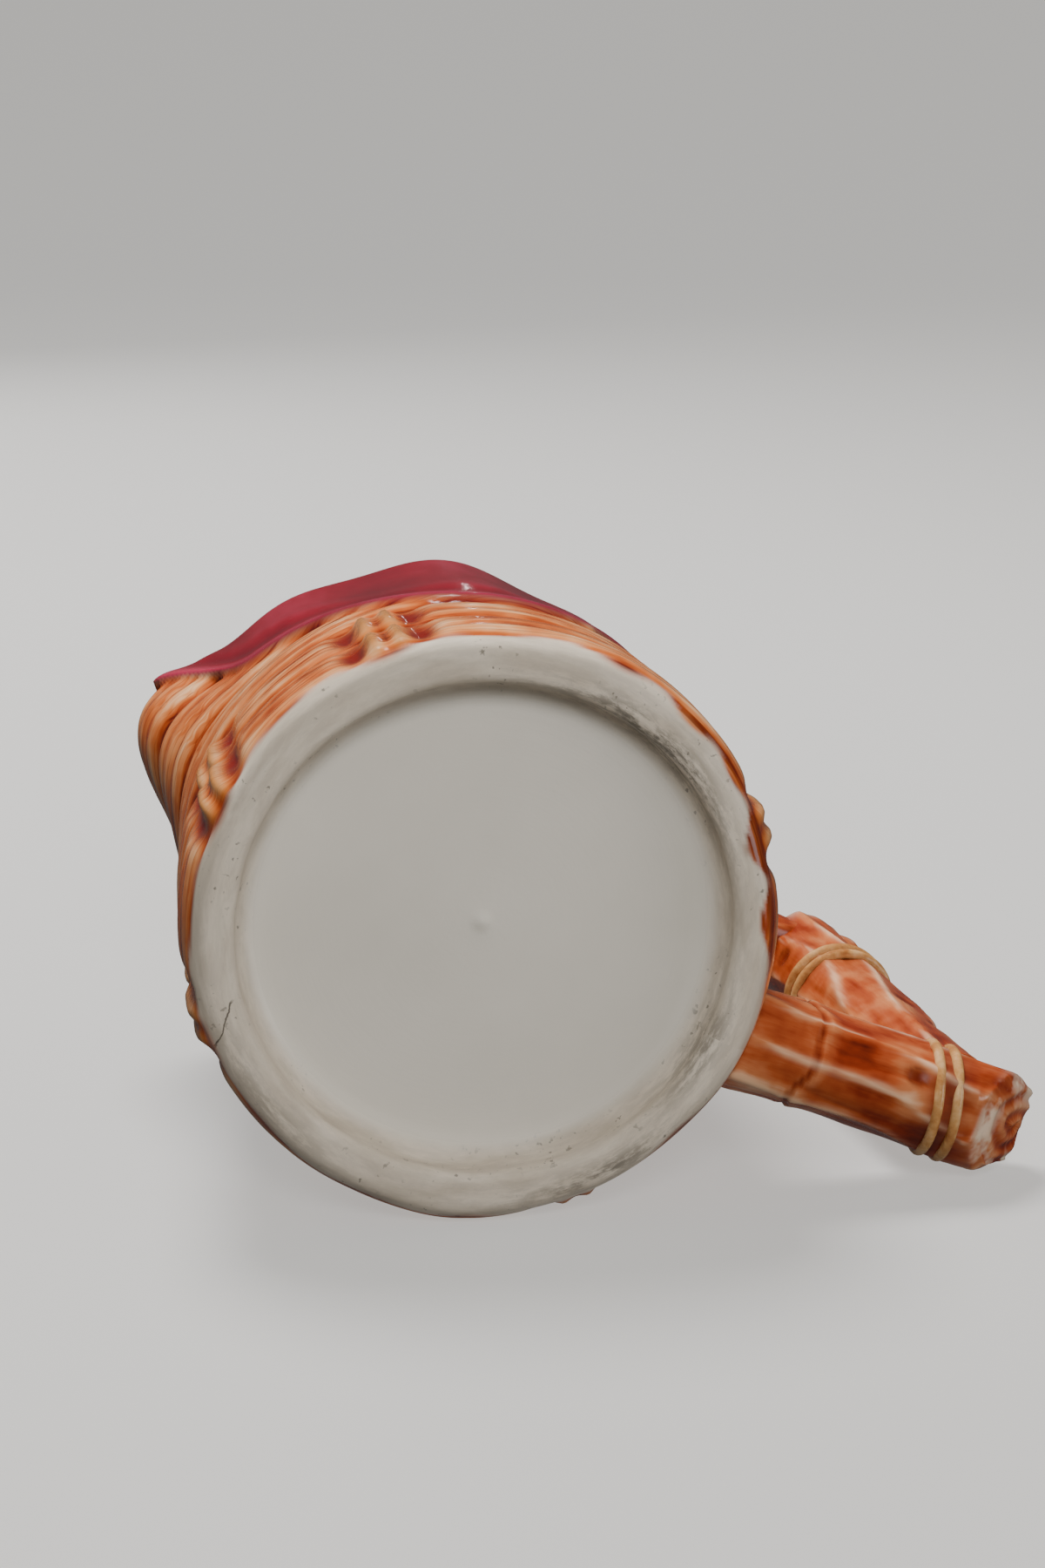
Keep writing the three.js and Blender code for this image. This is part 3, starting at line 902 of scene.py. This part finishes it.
def rope_glaze():
    material, tree, shader = new_glaze("gold_brown_glaze_on_rope")
    place = object_place(tree)
    colour = ramp(tree, noise(tree, place, 3.0, 4.0, 0.6), ROPE_STOPS)
    tree.links.new(colour, shader.inputs["Base Color"])
    shader.inputs["Roughness"].default_value = HANDLE_ROUGHNESS
    add_bump(tree, shader, noise(tree, place, 0.8, 3.0, 0.5), 0.4, 0.3)
    return material


body_material = body_glaze()
branch_material = branch_glaze()
rope_material = rope_glaze()
finish_piece(body, body_material)
for piece in (low_branch, upright_branch, top_branch):
    finish_piece(piece, branch_material)
for piece in ropes:
    finish_piece(piece, rope_material)
print("glazes", [m.name for m in (body_material, branch_material, rope_material)])


# %% [markdown]
# The camera looks at the foot from a little to one side. The foot is a circle, so the ellipse that
# it makes in the picture gives the tilt, the direction that it tilts in, the roll and the distance.

# %% Camera
TILT = math.radians(15.75)
ROLL = math.radians(27.0)
FACING = math.radians(41.0)
DISTANCE = 0.451
LENS = 80.0
SENSOR = 36.0
PICTURE = (1200.0, 1800.0)
FOOT_PIXEL = (560.0, 1071.0)

level_way = Vector((math.cos(FACING), math.sin(FACING), 0.0))
tilt_way = Vector((math.sin(FACING), -math.cos(FACING), 0.0))
look = Vector((0.0, 0.0, math.cos(TILT))) - tilt_way * math.sin(TILT)
rise = tilt_way * math.cos(TILT) + Vector((0.0, 0.0, math.sin(TILT)))
right = level_way * math.cos(ROLL) - rise * math.sin(ROLL)
up = level_way * math.sin(ROLL) + rise * math.cos(ROLL)

focal = LENS / SENSOR * PICTURE[1]
off_right = (PICTURE[0] / 2 - FOOT_PIXEL[0]) / focal
off_up = (PICTURE[1] / 2 - FOOT_PIXEL[1]) / focal
eye = AXIS - look * DISTANCE
aim = look + right * off_right - up * off_up
aim.normalize()
camera_right = (right - aim * right.dot(aim)).normalized()
camera_up = camera_right.cross(aim)
turned = Matrix((camera_right, camera_up, -aim)).transposed().to_4x4()
lens = bpy.data.cameras.new("studio_camera")
lens.lens = LENS
lens.sensor_width = SENSOR
lens.clip_start = 0.01
camera = bpy.data.objects.new("studio_camera", lens)
camera.matrix_world = Matrix.Translation(eye) @ turned
bpy.context.scene.collection.objects.link(camera)
bpy.context.scene.camera = camera
print("camera at", eye, "right", right, "up", up)


# %% [markdown]
# The jug lies on its side in the picture, so one pale floor touches its flank. Another lies under
# the foot ring, for looks from above. Each is a round dish that sweeps up into its own backdrop, so
# no edge shows from any side, and each is seen from its inner face only. A plane would do for one
# camera, but its edge would cross the picture in others. The floors glow a little and take no part
# in lighting the jug, so the glaze keeps its deep colours.

# %% Pale floors
FLOOR_BASE = "#8E8C8A"
FLOOR_PAINT = "#DAD8D4"
FLOOR_GLOW = 0.72
FLOOR_REACH = 1.3
SWEEP = 0.8
BACKDROP = 2.5
FLANK_ANGLE = math.radians(-23.5)
FLANK_LEAN = math.radians(-2.0)
FLOOR_GAP = 0.0002


def floor_material(name):
    material, tree, shader = new_glaze(name)
    shader.inputs["Base Color"].default_value = linear(FLOOR_BASE)
    shader.inputs["Roughness"].default_value = 0.8
    shader.inputs["Specular IOR Level"].default_value = 0.1
    shader.inputs["Emission Color"].default_value = linear(FLOOR_PAINT)
    shader.inputs["Emission Strength"].default_value = FLOOR_GLOW
    away = node(tree, "ShaderNodeNewGeometry").outputs["Backfacing"]
    clear = node(tree, "ShaderNodeBsdfTransparent").outputs[0]
    mixed = node(tree, "ShaderNodeMixShader", None, i0=away, i1=shader.outputs[0], i2=clear)
    tree.links.new(mixed.outputs[0], tree.nodes["Material Output"].inputs["Surface"])
    return material


def pale_floor(name, normal, touch):
    """A round floor that sweeps up into a backdrop on every side."""
    reach, height = [0.0, 0.3, 0.8, FLOOR_REACH], [0.0] * 4
    for swing in np.radians(np.linspace(7.5, 90.0, 12)):
        reach.append(FLOOR_REACH + SWEEP * math.sin(swing))
        height.append(SWEEP * (1 - math.cos(swing)))
    reach.append(reach[-1])
    height.append(BACKDROP)
    turns = np.linspace(0.0, 360.0, 97)
    dish = np.empty((len(reach), len(turns), 3))
    dish[..., 0] = np.outer(reach, deg_cos(turns))
    dish[..., 1] = np.outer(reach, deg_sin(turns))
    dish[..., 2] = np.array(height)[:, None]
    floor = rolled_grid(name, dish, {}, dish[..., :2])
    if floor.data.polygons[0].normal.z < 0:
        floor.data.flip_normals()
    facing = normal.to_track_quat("Z", "Y").to_matrix().to_4x4()
    floor.data.transform(Matrix.Translation(touch) @ facing)
    floor.data.materials.clear()
    floor.data.materials.append(floor_material(name + "_paint"))
    floor.visible_shadow = False
    floor.visible_diffuse = False
    floor.visible_glossy = False


def lowest_along(normal):
    return min(normal.dot(v.co) for o in (body, low_branch, upright_branch) for v in o.data.vertices)


flank = Vector((math.cos(FLANK_ANGLE), math.sin(FLANK_ANGLE), math.tan(FLANK_LEAN)))
flank.normalize()
touch = AXIS + flank * (lowest_along(flank) - flank.dot(AXIS))
pale_floor("side_floor", flank, touch)
pale_floor("under_floor", Vector((0.0, 0.0, 1.0)), Vector((0.0, 0.0, -FLOOR_GAP)))


# %% [markdown]
# Soft studio light comes from above the picture and from beside the camera. A large lamp would lie
# as a broad white patch on the shiny glaze, so the large ones are left out of reflections, and
# small lamps at the same places make the thin glints.

# %% Lights
ROOM_TINT = "#E6E5E4"
ROOM_LEVEL = 0.11


def soft_light(name, place, power, size, reflected):
    lamp = bpy.data.lights.new(name, "AREA")
    lamp.shape = "DISK"
    lamp.size = size
    lamp.energy = power
    holder = bpy.data.objects.new(name, lamp)
    heading = (AXIS + Vector((0, 0, 0.04)) - place).to_track_quat("-Z", "Y").to_matrix().to_4x4()
    holder.matrix_world = Matrix.Translation(place) @ heading
    holder.visible_glossy = reflected
    bpy.context.scene.collection.objects.link(holder)


key_place = AXIS + up * 0.8 + look * 0.12 - right * 0.15
front_place = AXIS - look * 0.95 + up * 0.3 + right * 0.05
soft_light("side", AXIS + right * 0.8 - look * 0.3, 2.0, 0.5, True)
soft_light("key_glint", key_place, 0.3, 0.06, True)
soft_light("front_glint", front_place, 0.12, 0.07, True)
soft_light("glint", AXIS + up * 0.42 + look * 0.75, 0.012, 0.012, True)
soft_light("key", key_place, 11.5, 0.35, False)
soft_light("front", front_place, 6.2, 0.35, False)
soft_light("above", AXIS + Vector((0.25, -0.35, 0.8)), 4.0, 0.5, False)
soft_light("back", AXIS + Vector((-0.5, 0.35, 0.45)), 2.0, 0.5, False)
world = bpy.data.worlds.new("pale_room")
world.use_nodes = True
world.node_tree.nodes["Background"].inputs[0].default_value = linear(ROOM_TINT)
world.node_tree.nodes["Background"].inputs[1].default_value = ROOM_LEVEL
bpy.context.scene.world = world
print("lamps", len(bpy.data.lights))
